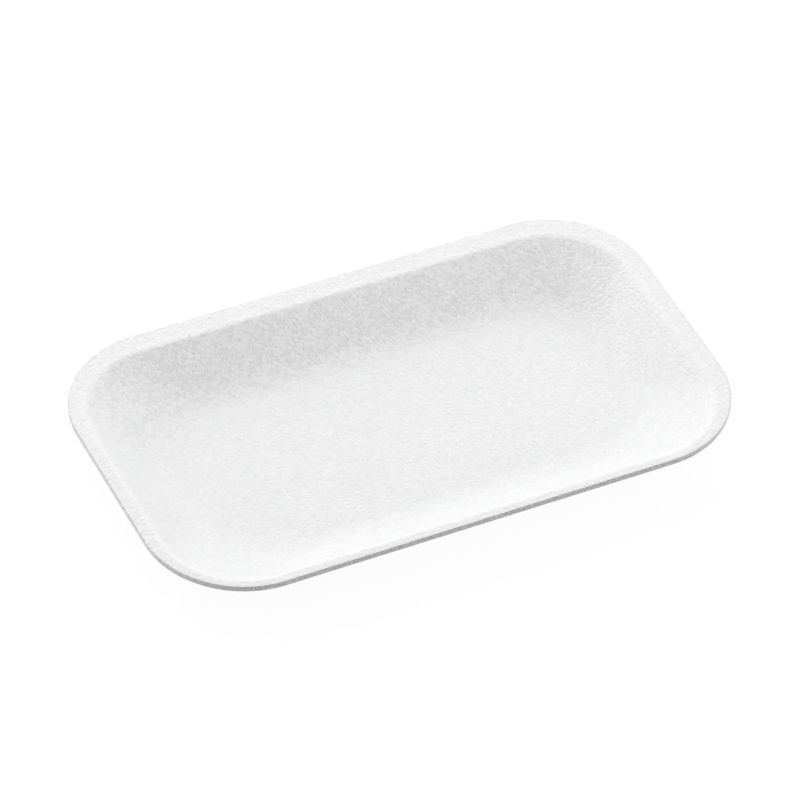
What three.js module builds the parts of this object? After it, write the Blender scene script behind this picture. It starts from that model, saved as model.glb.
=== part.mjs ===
// A food tray, pressed in one piece from a sheet of white expanded polystyrene foam.
// Millimetres, +Z up. The origin is under the middle of the flat base, where the tray stands.
import * as THREE from 'three';

// Plan of the rim
const trayLength = 225; // along X
const trayWidth = 135; // along Y
const rimCornerRadius = 37.5;
const floorCornerInset = 35.5; // from a long side of the rim to the centres of the floor's corners
const floorCornerRadius = trayWidth / 2 - floorCornerInset; // at the foot of the wall

// Rim: a narrow flat band between the cut edge and the shoulder
const trayHeight = 18; // from the base to the top of the rim
const rimWidth = 6; // plan distance from the cut edge to the shoulder
const rimThickness = 2.25; // height of the cut edge
const cutEdgeRadius = 0.4; // softened corners of the cut edge
const shoulderRadius = 3;
const underShoulderRadius = 2; // the same bend on the underside

// Wall and floor
const wallRun = 19.7; // plan distance from the shoulder to the foot of the wall
const wallThickness = 3.2;
const floorThickness = 4;
const floorFilletRadius = 22; // inside, where the wall runs out into the floor
const baseFilletRadius = 25; // the same bend on the underside
const hollowOffsetX = -0.9; // the rim was cut this far off the hollow's middle
const hollowOffsetY = -2.5;

// How finely the round stretches are divided
const cornerDivisions = 8;
const filletDivisions = 8;
const cutEdgeDivisions = 3;

// The radius of the plan's corners: parallel to the cut edge across the rim, then easing down the wall.
function cornerRadiusAt(inset) {
  const shoulderCornerRadius = rimCornerRadius - rimWidth;
  const share = THREE.MathUtils.clamp((inset - rimWidth) / wallRun, 0, 1);
  const onRim = Math.max(rimCornerRadius - inset, shoulderCornerRadius);
  return onRim + share * (floorCornerRadius - shoulderCornerRadius);
}

// The tray's plan at a given distance in from the cut edge, anticlockwise.
// Across the rim it moves from the cut edge's middle to the hollow's.
function planAt(inset) {
  const radius = cornerRadiusAt(inset);
  const reachX = trayLength / 2 - inset - radius;
  const reachY = trayWidth / 2 - inset - radius;
  const share = Math.min(inset / rimWidth, 1);
  const middleX = share * hollowOffsetX;
  const middleY = share * hollowOffsetY;
  const quarter = Math.PI / 2;
  const plan = new THREE.Shape();
  plan.absarc(middleX + reachX, middleY + reachY, radius, 0, quarter);
  plan.absarc(middleX - reachX, middleY + reachY, radius, quarter, 2 * quarter);
  plan.absarc(middleX - reachX, middleY - reachY, radius, 2 * quarter, 3 * quarter);
  plan.absarc(middleX + reachX, middleY - reachY, radius, 3 * quarter, 4 * quarter);
  return plan.getPoints(cornerDivisions);
}

// The line from one section point to another, moved below itself by a foam thickness.
function underside(from, to, thickness) {
  const along = to.clone().sub(from).normalize();
  const below = new THREE.Vector2(along.y, -along.x);
  return { point: from.clone().addScaledVector(below, thickness), along };
}

function meetingPoint(first, second) {
  const between = second.point.clone().sub(first.point);
  const distance = between.cross(second.along) / first.along.cross(second.along);
  return first.point.clone().addScaledVector(first.along, distance);
}

// The arc that rounds one corner of the section.
function cornerArc(before, corner, after, radius) {
  const back = before.clone().sub(corner).normalize();
  const onward = after.clone().sub(corner).normalize();
  const halfAngle = back.angleTo(onward) / 2;
  const middle = back.clone().add(onward).normalize();
  const centre = corner.clone().addScaledVector(middle, radius / Math.sin(halfAngle));
  const tangentLength = radius / Math.tan(halfAngle);
  const start = corner.clone().addScaledVector(back, tangentLength).sub(centre);
  const end = corner.clone().addScaledVector(onward, tangentLength).sub(centre);
  const clockwise = start.cross(end) < 0;
  return new THREE.EllipseCurve(centre.x, centre.y, radius, radius, start.angle(), end.angle(), clockwise);
}

// The section through the rim, wall and floor: x is the distance in from the cut edge, y the height.
// It runs outwards under the tray, up the cut edge and back inwards to the floor.
function sectionPoints() {
  const middleInset = trayWidth / 2;
  const edgeTop = new THREE.Vector2(0, trayHeight);
  const edgeBottom = new THREE.Vector2(0, trayHeight - rimThickness);
  const shoulder = new THREE.Vector2(rimWidth, trayHeight);
  const wallFoot = new THREE.Vector2(rimWidth + wallRun, floorThickness);
  const floorMiddle = new THREE.Vector2(middleInset, floorThickness);
  const baseMiddle = new THREE.Vector2(middleInset, 0);

  const rimUnderside = { point: edgeBottom, along: shoulder.clone().sub(edgeTop).normalize() };
  const wallUnderside = underside(shoulder, wallFoot, wallThickness);
  const base = underside(wallFoot, floorMiddle, floorThickness);
  const underShoulder = meetingPoint(rimUnderside, wallUnderside);
  const baseEdge = meetingPoint(wallUnderside, base);

  const corners = [
    { point: baseMiddle },
    { point: baseEdge, radius: baseFilletRadius, divisions: filletDivisions },
    { point: underShoulder, radius: underShoulderRadius, divisions: filletDivisions },
    { point: edgeBottom, radius: cutEdgeRadius, divisions: cutEdgeDivisions },
    { point: edgeTop, radius: cutEdgeRadius, divisions: cutEdgeDivisions },
    { point: shoulder, radius: shoulderRadius, divisions: filletDivisions },
    { point: wallFoot, radius: floorFilletRadius, divisions: filletDivisions },
    { point: floorMiddle },
  ];
  const points = [];
  for (let i = 1; i < corners.length - 1; i += 1) {
    const corner = corners[i];
    const arc = cornerArc(corners[i - 1].point, corner.point, corners[i + 1].point, corner.radius);
    points.push(...arc.getPoints(corner.divisions));
  }
  return points;
}

// The section carried round the plan, with the base and the floor closing it flat.
function trayGeometry() {
  const section = sectionPoints();
  const rings = section.map((point) => planAt(point.x));
  const perRing = rings[0].length;
  const positions = [];
  const triangles = [];
  section.forEach((point, ring) => {
    rings[ring].forEach((corner) => positions.push(corner.x, corner.y, point.y));
  });
  for (let ring = 0; ring < section.length - 1; ring += 1) {
    for (let step = 0; step < perRing; step += 1) {
      const next = (step + 1) % perRing;
      const inner = ring * perRing;
      const outer = inner + perRing;
      triangles.push(inner + step, inner + next, outer + next);
      triangles.push(inner + step, outer + next, outer + step);
    }
  }
  const lastRing = (section.length - 1) * perRing;
  THREE.ShapeUtils.triangulateShape(rings[0], []).forEach(([a, b, c]) => triangles.push(c, b, a));
  THREE.ShapeUtils.triangulateShape(rings.at(-1), []).forEach(([a, b, c]) => {
    triangles.push(lastRing + a, lastRing + b, lastRing + c);
  });
  const geometry = new THREE.BufferGeometry();
  geometry.setAttribute('position', new THREE.Float32BufferAttribute(positions, 3));
  geometry.setIndex(triangles);
  geometry.computeVertexNormals();
  return geometry;
}

const whiteFoam = new THREE.MeshStandardMaterial({ color: 0xf4f4f3, roughness: 0.7, metalness: 0 });

const tray = new THREE.Mesh(trayGeometry(), whiteFoam);
tray.name = 'tray';

const foodTray = new THREE.Group();
foodTray.add(tray);

export default foodTray;
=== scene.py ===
# A white foam food tray in a plain pale studio. Metres, +Z up, the tray standing on z = 0.
import bpy
import math
from mathutils import Matrix, Vector


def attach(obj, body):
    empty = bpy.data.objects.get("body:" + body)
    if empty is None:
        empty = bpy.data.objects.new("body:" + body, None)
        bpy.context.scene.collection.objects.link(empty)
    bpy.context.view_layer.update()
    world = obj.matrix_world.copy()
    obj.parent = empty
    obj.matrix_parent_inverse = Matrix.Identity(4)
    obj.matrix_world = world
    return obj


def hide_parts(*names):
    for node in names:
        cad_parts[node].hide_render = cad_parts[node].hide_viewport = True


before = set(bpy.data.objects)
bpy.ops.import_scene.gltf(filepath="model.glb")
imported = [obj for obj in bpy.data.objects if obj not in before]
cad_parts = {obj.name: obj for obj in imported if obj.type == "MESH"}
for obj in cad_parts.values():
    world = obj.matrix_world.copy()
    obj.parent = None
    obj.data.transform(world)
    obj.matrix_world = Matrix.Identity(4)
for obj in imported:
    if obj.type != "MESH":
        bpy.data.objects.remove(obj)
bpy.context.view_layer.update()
print("frame loaded:", sorted(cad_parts))


def addNode(tree, kind, inputs=None, **settings):
    node = tree.nodes.new(kind)
    for name, value in settings.items():
        setattr(node, name, value)
    for key, value in (inputs or {}).items():
        if isinstance(value, bpy.types.NodeSocket):
            tree.links.new(value, node.inputs[key])
        else:
            node.inputs[key].default_value = value
    return node


def calc(tree, operation, *values, clamp=False):
    node = tree.nodes.new("ShaderNodeMath")
    node.operation = operation
    node.use_clamp = clamp
    for socket, value in zip(node.inputs, values):
        if isinstance(value, bpy.types.NodeSocket):
            tree.links.new(value, socket)
        else:
            socket.default_value = value
    return node.outputs[0]


def newMaterial(name):
    material = bpy.data.materials.new(name)
    material.use_nodes = True
    material.node_tree.nodes.clear()
    return material, material.node_tree


# What the foam looks like: sizes in metres, colours linear
foamLook = {
    "skinColor": (0.885, 0.888, 0.893),
    "cellColor": (0.985, 0.986, 0.988),
    # the cut face's colour is painted shade
    "cutShadeColor": (0.60, 0.60, 0.60),
    "roughness": 0.32,
    "floorContrast": 0.8,  # how much the cells differ in tone
    "shadedWallContrast": 2.4,  # added on the wall that leans to the front, painted shade on its grain
    "driftShare": 0.3,  # the part of the tone that wanders over several cells
    "crestHighlightTone": 0.5,  # painted highlight: how much paler the bend at the rim's inner side is painted
    "cellSize": 0.0012,
    "cellSmoothness": 0.2,
    "fineSize": 0.0015,
    "fineShare": 0.9,  # of the small unevenness, against the cells' domes
    "driftSize": 0.006,
    "skinDepth": 0.00022,  # how proud the cells stand under the skin
    "wallDepth": 1.15,  # times that on the wall that leans to the front
    "cutDepth": 0.00060,  # how deep the opened cells of the cut edge are
}


def makeFoam():
    material, tree = newMaterial("pressedFoam")
    look = foamLook
    place = addNode(tree, "ShaderNodeTexCoord").outputs["Object"]
    cutFaceAndShade = addNode(tree, "ShaderNodeAttribute", attribute_name="cutFaceAndShade").outputs["Fac"]
    cells = addNode(tree, "ShaderNodeTexVoronoi", {
        "Vector": place, "Scale": 1 / look["cellSize"],
        "Smoothness": look["cellSmoothness"], "Randomness": 1.0,
    }, feature="SMOOTH_F1")
    fine = addNode(tree, "ShaderNodeTexNoise", {
        "Vector": place, "Scale": 1 / look["fineSize"], "Detail": 1.5, "Roughness": 0.5,
    })
    drift = addNode(tree, "ShaderNodeTexNoise", {
        "Vector": place, "Scale": 1 / look["driftSize"], "Detail": 2.0, "Roughness": 0.6,
    })
    dome = calc(tree, "SUBTRACT", 1.0, cells.outputs["Distance"])
    grain = calc(tree, "ADD", dome, calc(tree, "MULTIPLY", fine.outputs["Fac"], look["fineShare"]))
    shadedWall = addNode(tree, "ShaderNodeAttribute", attribute_name="shadedWall").outputs["Fac"]
    crestHighlight = addNode(tree, "ShaderNodeAttribute", attribute_name="crestHighlight").outputs["Fac"]
    depth = calc(tree, "MULTIPLY_ADD", cutFaceAndShade, look["cutDepth"] / look["skinDepth"] - 1, 1.0)
    depth = calc(tree, "MULTIPLY_ADD", shadedWall, look["wallDepth"] - 1, depth)
    height = calc(tree, "MULTIPLY", grain, depth)
    bump = addNode(tree, "ShaderNodeBump", {
        "Strength": 1.0, "Distance": look["skinDepth"], "Height": height,
    })
    # each cell has its own tone, and the wall that leans to the front, away from the lamps, shows it more:
    # painted shade on the grain
    shade = addNode(tree, "ShaderNodeSeparateColor", {"Color": cells.outputs["Color"]}).outputs[0]
    wander = calc(tree, "MULTIPLY", drift.outputs["Fac"], look["driftShare"])
    tone = calc(tree, "MULTIPLY_ADD", shade, 1 - look["driftShare"], wander)
    contrast = calc(tree, "MULTIPLY_ADD", shadedWall, look["shadedWallContrast"], look["floorContrast"])
    tone = calc(tree, "MULTIPLY_ADD", calc(tree, "SUBTRACT", tone, 0.5), contrast, 0.5)
    # painted highlight: the crest's tone is raised, a pale line standing in for the light it catches
    tone = calc(tree, "MULTIPLY_ADD", crestHighlight, look["crestHighlightTone"], tone, clamp=True)
    firstColor, secondColor = 6, 7  # the colour sockets of a mix node
    skin = addNode(tree, "ShaderNodeMix", {
        "Factor": tone, firstColor: (*look["skinColor"], 1), secondColor: (*look["cellColor"], 1),
    }, data_type="RGBA")
    # painted shade: the cut face is greyed, most of all in front
    color = addNode(tree, "ShaderNodeMix", {
        "Factor": cutFaceAndShade, firstColor: skin.outputs[2], secondColor: (*look["cutShadeColor"], 1),
    }, data_type="RGBA")
    shader = addNode(tree, "ShaderNodeBsdfPrincipled", {
        "Base Color": color.outputs[2], "Roughness": look["roughness"], "Normal": bump.outputs[0],
    })
    addNode(tree, "ShaderNodeOutputMaterial", {"Surface": shader.outputs[0]})
    return material


# The tray's sizes in metres, the same as the frame's solid, then those of its mesh, surface and marks
traySizes = {
    "Length": 0.225,
    "Width": 0.135,
    "Corner Radius": 0.0375,
    "Height": 0.018,
    "Rim Width": 0.006,
    "Edge Thickness": 0.00225,
    "Cut Edge Radius": 0.0004,
    "Shoulder Radius": 0.003,
    "Under Shoulder Radius": 0.002,
    "Wall Run": 0.0197,
    "Wall Thickness": 0.0032,
    "Floor Thickness": 0.004,
    "Floor Corner Radius": 0.032,
    "Floor Fillet Radius": 0.022,
    "Base Fillet Radius": 0.025,
    "Hollow Offset X": -0.0009,
    "Hollow Offset Y": -0.0025,
    "Flat Inset": 0.034,  # inside this the floor and the base are flat
    "Highlight Reach": 0.0023,  # how far from the shoulder the painted highlight on the crest fades out
    "Ring Step": 0.0013,  # between the rings of the mesh
    "Seam Step": 0.003,  # between the points where the two long sides join
    "Join Distance": 0.00002,
    "Swell": 0.00012,  # how uneven the foam's surface is
    "Swell Size": 0.007,
    "Swell Start": 0.0005,  # the height above the base where it is full
    "Seed Spacing": 1.7,
    "Cut Face Reach": 0.00028,  # how far in the face of the cut edge counts
    # how far a face leans to the front, by its normal along Y, where a mark starts and where it is full
    "Cut Shade From": -0.6,
    "Cut Shade To": -1.0,
    "Least Cut Shade": 0.35,  # the cut face's painted shade at the sides and the back
    "Shaded Wall From": -0.1,
    "Shaded Wall To": -0.5,
}
trayCounts = {"Plan Steps": 520, "Corner Steps": 60, "Fillet Steps": 9, "Seed": 4}


def indexed(tree, kind, values):
    # one value for each corner of the section, chosen by its index
    node = tree.nodes.new("GeometryNodeIndexSwitch")
    node.data_type = kind
    while len(node.index_switch_items) < len(values):
        node.index_switch_items.new()
    tree.links.new(tree.nodes.new("GeometryNodeInputIndex").outputs[0], node.inputs["Index"])
    for socket, value in zip(list(node.inputs)[1:], values):
        if isinstance(value, bpy.types.NodeSocket):
            tree.links.new(value, socket)
        else:
            socket.default_value = value
    return node.outputs[0]


def sectionCurve(tree, size):
    # x is the distance in from the cut edge and y the height, from the base's middle round to the floor's
    def corner(x, y):
        return addNode(tree, "ShaderNodeCombineXYZ", {"X": x, "Y": y}).outputs[0]

    half = calc(tree, "MULTIPLY", size["Width"], 0.5)
    drop = calc(tree, "SUBTRACT", size["Height"], size["Floor Thickness"])
    run = size["Wall Run"]
    slope = calc(tree, "DIVIDE", run, drop)
    dropSquared = calc(tree, "MULTIPLY", drop, drop)
    wallLength = calc(tree, "SQRT", calc(tree, "MULTIPLY_ADD", run, run, dropSquared))
    wallAside = calc(tree, "DIVIDE", calc(tree, "MULTIPLY", size["Wall Thickness"], wallLength), drop)
    wallFoot = calc(tree, "ADD", size["Rim Width"], run)
    footBelow = calc(tree, "MULTIPLY_ADD", size["Floor Thickness"], slope, wallFoot)
    baseEdge = calc(tree, "SUBTRACT", footBelow, wallAside)
    underside = calc(tree, "SUBTRACT", size["Height"], size["Edge Thickness"])
    underIn = calc(tree, "MULTIPLY_ADD", size["Edge Thickness"], slope, size["Rim Width"])
    underShoulder = calc(tree, "SUBTRACT", underIn, wallAside)
    corners = [
        corner(half, 0.0), corner(baseEdge, 0.0), corner(underShoulder, underside),
        corner(0.0, underside), corner(0.0, size["Height"]), corner(size["Rim Width"], size["Height"]),
        corner(wallFoot, size["Floor Thickness"]), corner(half, size["Floor Thickness"]),
    ]
    radii = [
        0.0, size["Base Fillet Radius"], size["Under Shoulder Radius"], size["Cut Edge Radius"],
        size["Cut Edge Radius"], size["Shoulder Radius"], size["Floor Fillet Radius"], 0.0,
    ]
    line = addNode(tree, "GeometryNodeMeshLine", {"Count": len(corners)})
    curve = addNode(tree, "GeometryNodeMeshToCurve", {"Mesh": line.outputs[0]})
    placed = addNode(tree, "GeometryNodeSetPosition", {
        "Geometry": curve.outputs[0], "Position": indexed(tree, "VECTOR", corners),
    })
    rounded = addNode(tree, "GeometryNodeFilletCurve", {
        "Curve": placed.outputs[0], "Count": size["Fillet Steps"],
        "Radius": indexed(tree, "FLOAT", radii), "Limit Radius": False,
    }, mode="POLY")
    # long stretches are cut into steps of even length
    along = addNode(tree, "GeometryNodeSplineParameter").outputs["Length"]
    nextIndex = calc(tree, "ADD", addNode(tree, "GeometryNodeInputIndex").outputs[0], 1.0)
    following = addNode(tree, "GeometryNodeFieldAtIndex", {
        "Index": nextIndex, "Value": along,
    }, domain="POINT")
    gap = calc(tree, "SUBTRACT", following.outputs[0], along)
    steps = calc(tree, "FLOOR", calc(tree, "DIVIDE", gap, size["Ring Step"]))
    divided = addNode(tree, "GeometryNodeSubdivideCurve", {
        "Curve": rounded.outputs[0], "Cuts": calc(tree, "MAXIMUM", steps, 0.0),
    })
    return divided.outputs[0]


def trayTree(foam):
    tree = bpy.data.node_groups.new("pressedTray", "GeometryNodeTree")
    tree.interface.new_socket("Geometry", in_out="INPUT", socket_type="NodeSocketGeometry")
    tree.interface.new_socket("Geometry", in_out="OUTPUT", socket_type="NodeSocketGeometry")
    for name in traySizes:
        tree.interface.new_socket(name, in_out="INPUT", socket_type="NodeSocketFloat")
    for name in trayCounts:
        tree.interface.new_socket(name, in_out="INPUT", socket_type="NodeSocketInt")
    size = {socket.name: socket for socket in tree.nodes.new("NodeGroupInput").outputs}
    where = addNode(tree, "GeometryNodeInputPosition").outputs[0]

    def keep(geometry, kind, name, value):
        node = addNode(tree, "GeometryNodeStoreNamedAttribute", {
            "Geometry": geometry, "Name": name, "Value": value,
        }, data_type=kind, domain="POINT")
        return node.outputs[0]

    def kept(kind, name):
        node = addNode(tree, "GeometryNodeInputNamedAttribute", {"Name": name}, data_type=kind)
        return node.outputs[0]

    # the section remembers its distance in and its height, and the plan its point on the cut edge
    split = addNode(tree, "ShaderNodeSeparateXYZ", {"Vector": where})
    section = keep(sectionCurve(tree, size), "FLOAT", "inset", split.outputs["X"])
    section = keep(section, "FLOAT", "level", split.outputs["Y"])
    plan = addNode(tree, "GeometryNodeCurvePrimitiveQuadrilateral", {
        "Width": size["Length"], "Height": size["Width"],
    }, mode="RECTANGLE")
    plan = addNode(tree, "GeometryNodeFilletCurve", {
        "Curve": plan.outputs[0], "Count": size["Corner Steps"],
        "Radius": size["Corner Radius"], "Limit Radius": False,
    }, mode="POLY")
    plan = addNode(tree, "GeometryNodeResampleCurve", {
        "Curve": plan.outputs[0], "Count": size["Plan Steps"],
    })
    plan = keep(plan.outputs[0], "FLOAT_VECTOR", "edgePoint", where)
    swept = addNode(tree, "GeometryNodeCurveToMesh", {"Curve": plan, "Profile Curve": section}).outputs[0]

    def between(value, reach):
        low = calc(tree, "MAXIMUM", value, calc(tree, "MULTIPLY", reach, -1.0))
        return calc(tree, "MINIMUM", low, reach)

    # the rings run parallel to the cut edge across the rim, their corners ease down the wall,
    # and the flat middle closes on a line
    edge = addNode(tree, "ShaderNodeSeparateXYZ", {"Vector": kept("FLOAT_VECTOR", "edgePoint")})
    inset, level = kept("FLOAT", "inset"), kept("FLOAT", "level")
    radius = size["Corner Radius"]
    parallel = calc(tree, "MINIMUM", inset, size["Flat Inset"])
    shoulderCorner = calc(tree, "SUBTRACT", radius, size["Rim Width"])
    pastRim = calc(tree, "SUBTRACT", inset, size["Rim Width"])
    onWall = calc(tree, "DIVIDE", pastRim, size["Wall Run"], clamp=True)
    easing = calc(tree, "SUBTRACT", size["Floor Corner Radius"], shoulderCorner)
    onRim = calc(tree, "MAXIMUM", calc(tree, "SUBTRACT", radius, inset), shoulderCorner)
    ringRadius = calc(tree, "MULTIPLY_ADD", onWall, easing, onRim)
    shrink = calc(tree, "DIVIDE", ringRadius, radius)
    halfWidth = calc(tree, "MULTIPLY", size["Width"], 0.5)
    halfLength = calc(tree, "MULTIPLY", size["Length"], 0.5)
    closing = calc(tree, "DIVIDE", calc(tree, "SUBTRACT", inset, size["Flat Inset"]),
                   calc(tree, "SUBTRACT", halfWidth, size["Flat Inset"]), clamp=True)
    spineEnd = calc(tree, "SUBTRACT", halfLength, halfWidth)
    hollowShare = calc(tree, "DIVIDE", inset, size["Rim Width"], clamp=True)
    # both long sides end on the same few points of the middle line, so that they join
    middleX = calc(tree, "SNAP", between(edge.outputs["X"], spineEnd), size["Seam Step"])
    middles = {"X": middleX, "Y": 0.0}
    axes = {}
    for axis, half in (("X", halfLength), ("Y", halfWidth)):
        away = edge.outputs[axis]
        reach = calc(tree, "SUBTRACT", half, radius)
        centre = between(away, reach)
        ringReach = calc(tree, "SUBTRACT", calc(tree, "SUBTRACT", half, parallel), ringRadius)
        ringCentre = calc(tree, "MULTIPLY", centre, calc(tree, "DIVIDE", ringReach, reach))
        ring = calc(tree, "MULTIPLY_ADD", calc(tree, "SUBTRACT", away, centre), shrink, ringCentre)
        inwards = calc(tree, "SUBTRACT", middles[axis], ring)
        flat = calc(tree, "MULTIPLY_ADD", inwards, closing, ring)
        axes[axis] = calc(tree, "MULTIPLY_ADD", size["Hollow Offset " + axis], hollowShare, flat)
    target = addNode(tree, "ShaderNodeCombineXYZ", {"X": axes["X"], "Y": axes["Y"], "Z": level})
    shaped = addNode(tree, "GeometryNodeSetPosition", {"Geometry": swept, "Position": target.outputs[0]})
    closed = addNode(tree, "GeometryNodeMergeByDistance", {
        "Geometry": shaped.outputs[0], "Distance": size["Join Distance"],
    })
    outward = addNode(tree, "GeometryNodeFlipFaces", {"Mesh": closed.outputs[0]}).outputs[0]
    normal = addNode(tree, "GeometryNodeInputNormal").outputs[0]

    # the foam is a little uneven, but not on the face that it stands on
    noise = addNode(tree, "ShaderNodeTexNoise", {
        "Vector": where, "W": calc(tree, "MULTIPLY", size["Seed"], size["Seed Spacing"]),
        "Scale": calc(tree, "DIVIDE", 1.0, size["Swell Size"]), "Detail": 2.0, "Roughness": 0.55,
    }, noise_dimensions="4D")
    lifted = calc(tree, "DIVIDE", level, size["Swell Start"], clamp=True)
    amount = calc(tree, "MULTIPLY", calc(tree, "SUBTRACT", noise.outputs["Fac"], 0.5), size["Swell"])
    push = addNode(tree, "ShaderNodeVectorMath", {
        0: normal, "Scale": calc(tree, "MULTIPLY", amount, lifted),
    }, operation="SCALE")
    uneven = addNode(tree, "GeometryNodeSetPosition", {"Geometry": outward, "Offset": push.outputs[0]})

    # the material's marks: the cut face, its cells opened and painted shade on it, darkest in front, where
    # it faces away from the lamps,
    lean = addNode(tree, "ShaderNodeSeparateXYZ", {"Vector": normal})
    cutShade = addNode(tree, "ShaderNodeMapRange", {
        "Value": lean.outputs["Y"], "From Min": size["Cut Shade From"], "From Max": size["Cut Shade To"],
        "To Min": size["Least Cut Shade"], "To Max": 1.0,
    })
    nearEdge = calc(tree, "LESS_THAN", inset, size["Cut Face Reach"])
    cutFaceAndShade = calc(tree, "MULTIPLY", nearEdge, cutShade.outputs[0])
    marked = keep(uneven.outputs[0], "FLOAT", "cutFaceAndShade", cutFaceAndShade)
    # the wall that leans to the front, away from the lamps, where the grain gets painted shade, by how far
    # it leans,
    shadedWall = addNode(tree, "ShaderNodeMapRange", {
        "Value": lean.outputs["Y"], "From Min": size["Shaded Wall From"], "From Max": size["Shaded Wall To"],
        "To Min": 0.0, "To Max": 1.0,
    })
    marked = keep(marked, "FLOAT", "shadedWall", shadedWall.outputs[0])
    # and the crest, where the rim bends down into the wall and gets a painted highlight
    off = calc(tree, "ABSOLUTE", calc(tree, "SUBTRACT", inset, size["Rim Width"]))
    onCrest = calc(tree, "SUBTRACT", 1.0, calc(tree, "DIVIDE", off, size["Highlight Reach"]), clamp=True)
    onTop = calc(tree, "GREATER_THAN", lean.outputs["Z"], 0.0)
    marked = keep(marked, "FLOAT", "crestHighlight", calc(tree, "MULTIPLY", onCrest, onTop))
    smooth = addNode(tree, "GeometryNodeSetShadeSmooth", {"Geometry": marked, "Shade Smooth": True})
    real = addNode(tree, "GeometryNodeRealizeInstances", {"Geometry": smooth.outputs[0]})
    painted = addNode(tree, "GeometryNodeSetMaterial", {"Geometry": real.outputs[0], "Material": foam})
    tree.links.new(painted.outputs[0], tree.nodes.new("NodeGroupOutput").inputs[0])
    return tree


def makeTray(foam):
    holder = bpy.data.objects.new("trayMaker", bpy.data.meshes.new("trayMaker"))
    bpy.context.scene.collection.objects.link(holder)
    modifier = holder.modifiers.new("pressedTray", "NODES")
    modifier.node_group = trayTree(foam)
    values = {**traySizes, **trayCounts}
    for item in modifier.node_group.interface.items_tree:
        if item.in_out == "INPUT" and item.name in values:
            modifier[item.identifier] = values[item.name]
    evaluated = holder.evaluated_get(bpy.context.evaluated_depsgraph_get())
    mesh = bpy.data.meshes.new_from_object(evaluated)
    mesh.name = "trayShell"
    bpy.data.objects.remove(holder)
    shell = bpy.data.objects.new("trayShell", mesh)
    bpy.context.scene.collection.objects.link(shell)
    return shell


foam = makeFoam()
tray = makeTray(foam)
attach(tray, "root")
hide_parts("tray")
print("tray made:", len(tray.data.polygons), "faces")


studio = {
    "floorSize": 8.0,
    "floorGap": 0.0001,  # keeps the floor off the tray's base
    "floorColor": (0.8, 0.8, 0.8),
    "floorWhite": 0.915,  # what the camera sees of the floor besides its share of light and shadow
    "floorShade": 0.12,  # that share
    "lampDistance": 1.5,
    # azimuth from +Y towards +X, elevation, radius in metres, and watts
    "lamps": [
        ("above", 0, 90, 0.85, 2.6), ("highRight", 90, 58, 0.85, 5.4), ("lowBackRight", 18, 24, 0.85, 4.5),
        ("lowRightBack", 54, 24, 0.85, 5.8), ("lowRightFront", 126, 24, 0.85, 4.1),
        ("lowFront", 162, 24, 0.85, 8.8), ("lowLeft", 306, 24, 0.85, 11.9), ("lowBack", 342, 24, 0.85, 7.3),
        ("backGlint", 340, 49, 0.25, 2.7),
    ],
}


def makeFloor():
    half = studio["floorSize"] / 2
    mesh = bpy.data.meshes.new("studioFloor")
    corners = [(-half, -half, 0), (half, -half, 0), (half, half, 0), (-half, half, 0)]
    mesh.from_pydata(corners, [], [(0, 1, 2, 3)])
    material, tree = newMaterial("paleFloor")
    path = addNode(tree, "ShaderNodeLightPath").outputs
    seen = calc(tree, "ADD", path["Is Camera Ray"], path["Is Glossy Ray"])
    seen = calc(tree, "ADD", seen, path["Is Transmission Ray"], clamp=True)
    shade = studio["floorShade"]
    matt = addNode(tree, "ShaderNodeBsdfDiffuse", {"Color": (*studio["floorColor"], 1)})
    shaded = addNode(tree, "ShaderNodeBsdfDiffuse", {"Color": (shade, shade, shade, 1)})
    glow = addNode(tree, "ShaderNodeEmission", {"Strength": studio["floorWhite"]})
    white = addNode(tree, "ShaderNodeAddShader", {0: shaded.outputs[0], 1: glow.outputs[0]})
    mixed = addNode(tree, "ShaderNodeMixShader", {0: seen, 1: matt.outputs[0], 2: white.outputs[0]})
    addNode(tree, "ShaderNodeOutputMaterial", {"Surface": mixed.outputs[0]})
    mesh.materials.append(material)
    floor = bpy.data.objects.new("studioFloor", mesh)
    floor.location.z = -studio["floorGap"]
    bpy.context.scene.collection.objects.link(floor)
    return floor


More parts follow.
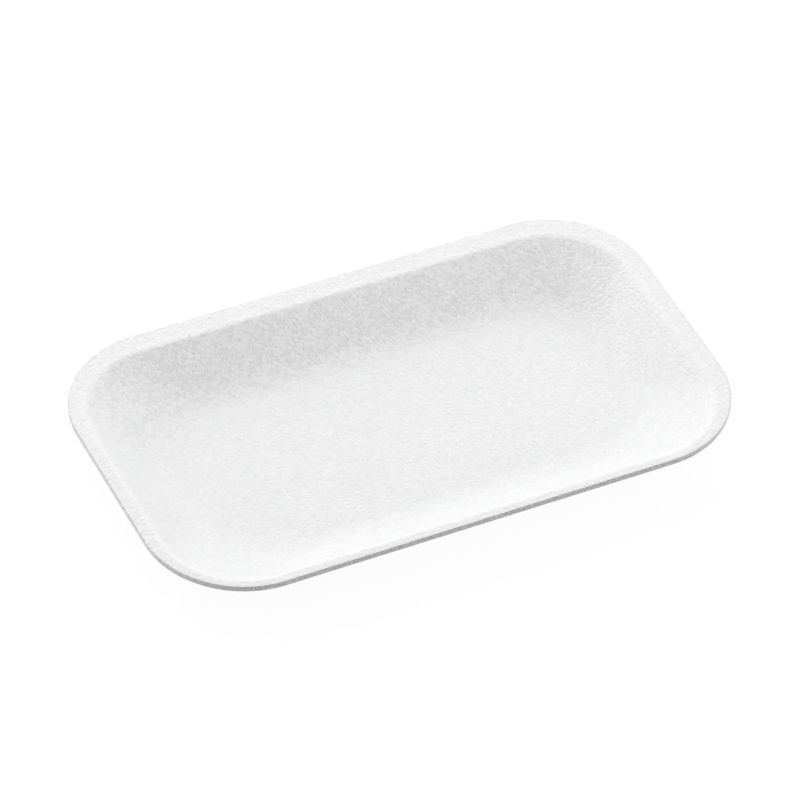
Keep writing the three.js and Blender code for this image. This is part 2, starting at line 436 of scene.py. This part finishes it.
def makeWorld():
    world = bpy.data.worlds.new("studioWorld")
    world.use_nodes = True
    tree = world.node_tree
    tree.nodes.clear()
    path = addNode(tree, "ShaderNodeLightPath").outputs
    seen = calc(tree, "ADD", path["Is Camera Ray"], path["Is Transmission Ray"], clamp=True)
    background = addNode(tree, "ShaderNodeBackground", {"Color": (1, 1, 1, 1), "Strength": seen})
    addNode(tree, "ShaderNodeOutputWorld", {"Surface": background.outputs[0]})
    bpy.context.scene.world = world


def makeLamps():
    for name, azimuth, elevation, radius, watts in studio["lamps"]:
        across, up = math.radians(azimuth), math.radians(elevation)
        towards = Vector((math.cos(up) * math.sin(across), math.cos(up) * math.cos(across), math.sin(up)))
        data = bpy.data.lights.new(name, "AREA")
        data.shape = "DISK"
        data.size = 2 * radius
        data.energy = watts
        lamp = bpy.data.objects.new(name, data)
        lamp.location = towards * studio["lampDistance"]
        lamp.rotation_mode = "QUATERNION"
        lamp.rotation_quaternion = towards.to_track_quat("Z", "Y")
        lamp.visible_camera = False
        bpy.context.scene.collection.objects.link(lamp)


# Degrees and metres, but the lens and sensor in millimetres; the aim is on the plane of the rim's top
photoView = {
    "azimuth": -26.75,
    "elevation": 43.54,
    "roll": 2.23,
    "distance": 2.251,
    "lens": 284.5,
    "sensorWidth": 36,
    "aimRight": -0.0002,
    "aimUp": -0.0009,
}


def makeCamera():
    across, up = math.radians(photoView["azimuth"]), math.radians(photoView["elevation"])
    roll = math.radians(photoView["roll"])
    back = Vector((math.sin(across) * math.cos(up), -math.cos(across) * math.cos(up), math.sin(up)))
    level = (-back).cross(Vector((0, 0, 1))).normalized()
    rise = level.cross(-back)
    right = level * math.cos(roll) + rise * math.sin(roll)
    top = rise * math.cos(roll) - level * math.sin(roll)
    place = back * photoView["distance"] + Vector((0, 0, traySizes["Height"]))
    place += right * photoView["aimRight"] + top * photoView["aimUp"]
    data = bpy.data.cameras.new("photoCamera")
    data.sensor_width = photoView["sensorWidth"]
    data.lens = photoView["lens"]
    camera = bpy.data.objects.new("photoCamera", data)
    turn = Matrix((right, top, back)).transposed().to_4x4()
    camera.matrix_world = Matrix.Translation(place) @ turn
    bpy.context.scene.collection.objects.link(camera)
    bpy.context.scene.camera = camera


makeFloor()
makeWorld()
makeLamps()
makeCamera()
bpy.context.scene.view_settings.view_transform = "Standard"
print("studio ready")
